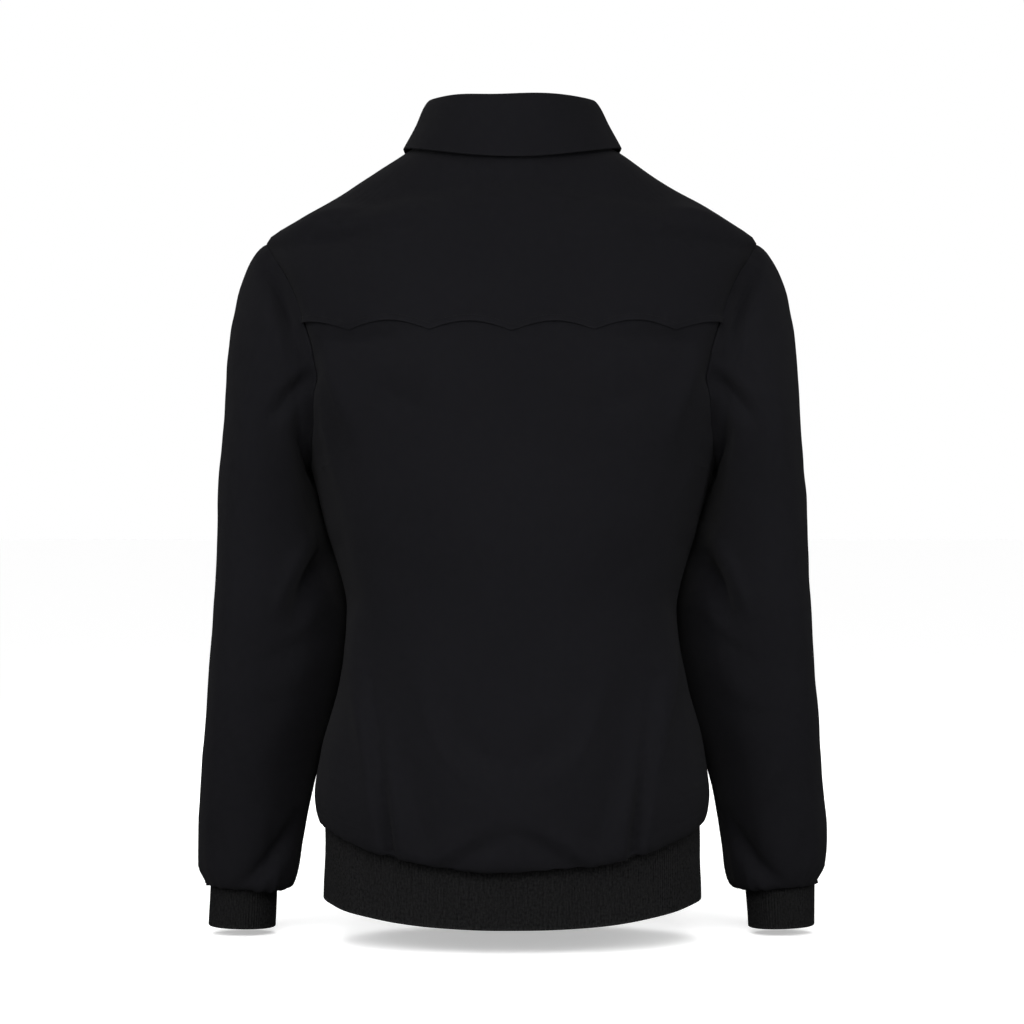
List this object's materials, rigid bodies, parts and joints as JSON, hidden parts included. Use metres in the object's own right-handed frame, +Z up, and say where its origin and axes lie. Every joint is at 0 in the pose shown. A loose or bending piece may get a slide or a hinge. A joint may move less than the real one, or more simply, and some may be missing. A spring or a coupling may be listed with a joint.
{
  "type": "harrington jacket",
  "caption": "Short zip jacket of dark twill, hollow as worn, with a folded collar, a scalloped back yoke, slanted pocket flaps, and a ribbed hem and cuffs.",
  "frame": {"origin": "on the middle line at the nape of the neck, where the wearer holds the jacket up", "axes": "+Z up, -Y the way the wearer faces, +X the wearer's left"},
  "size_m": [0.5578, 0.2686, 0.7315],
  "materials": {
    "shell_twill": "near-black cotton twill, dull with a soft sheen",
    "rib_knit": "near-black rib knit, matte",
    "zip_tape": "near-black woven tape, matte",
    "button": "black, half gloss",
    "zip_metal": "black nickel, satin"
  },
  "bodies": {
    "jacket": {"back": "shell_twill", "back_yoke": "shell_twill", "front_left": "shell_twill", "front_right": "shell_twill", "sleeve_left": "shell_twill", "sleeve_right": "shell_twill", "cuff_left": "rib_knit", "cuff_right": "rib_knit", "hem_rib": "rib_knit", "collar_stand": "shell_twill", "collar_fall": "shell_twill", "collar_button_lower": "button", "collar_button_upper": "button", "pocket_flap_left": "shell_twill", "pocket_flap_right": "shell_twill", "pocket_button_left": "button", "pocket_button_right": "button", "zip_tape_left": "zip_tape", "zip_tape_right": "zip_tape", "zip_slider": "zip_metal", "zip_box": "zip_metal"},
    "zip_pull": {"zip_pull": "zip_metal"}
  },
  "joints": [
    {"name": "pull_tab_swing", "type": "hinge", "parent": "jacket", "child": "zip_pull", "pos_m": [0, -0.09893, -0.08379], "axis": [-1, 0, 0], "range_deg": [0, 150]}
  ]
}
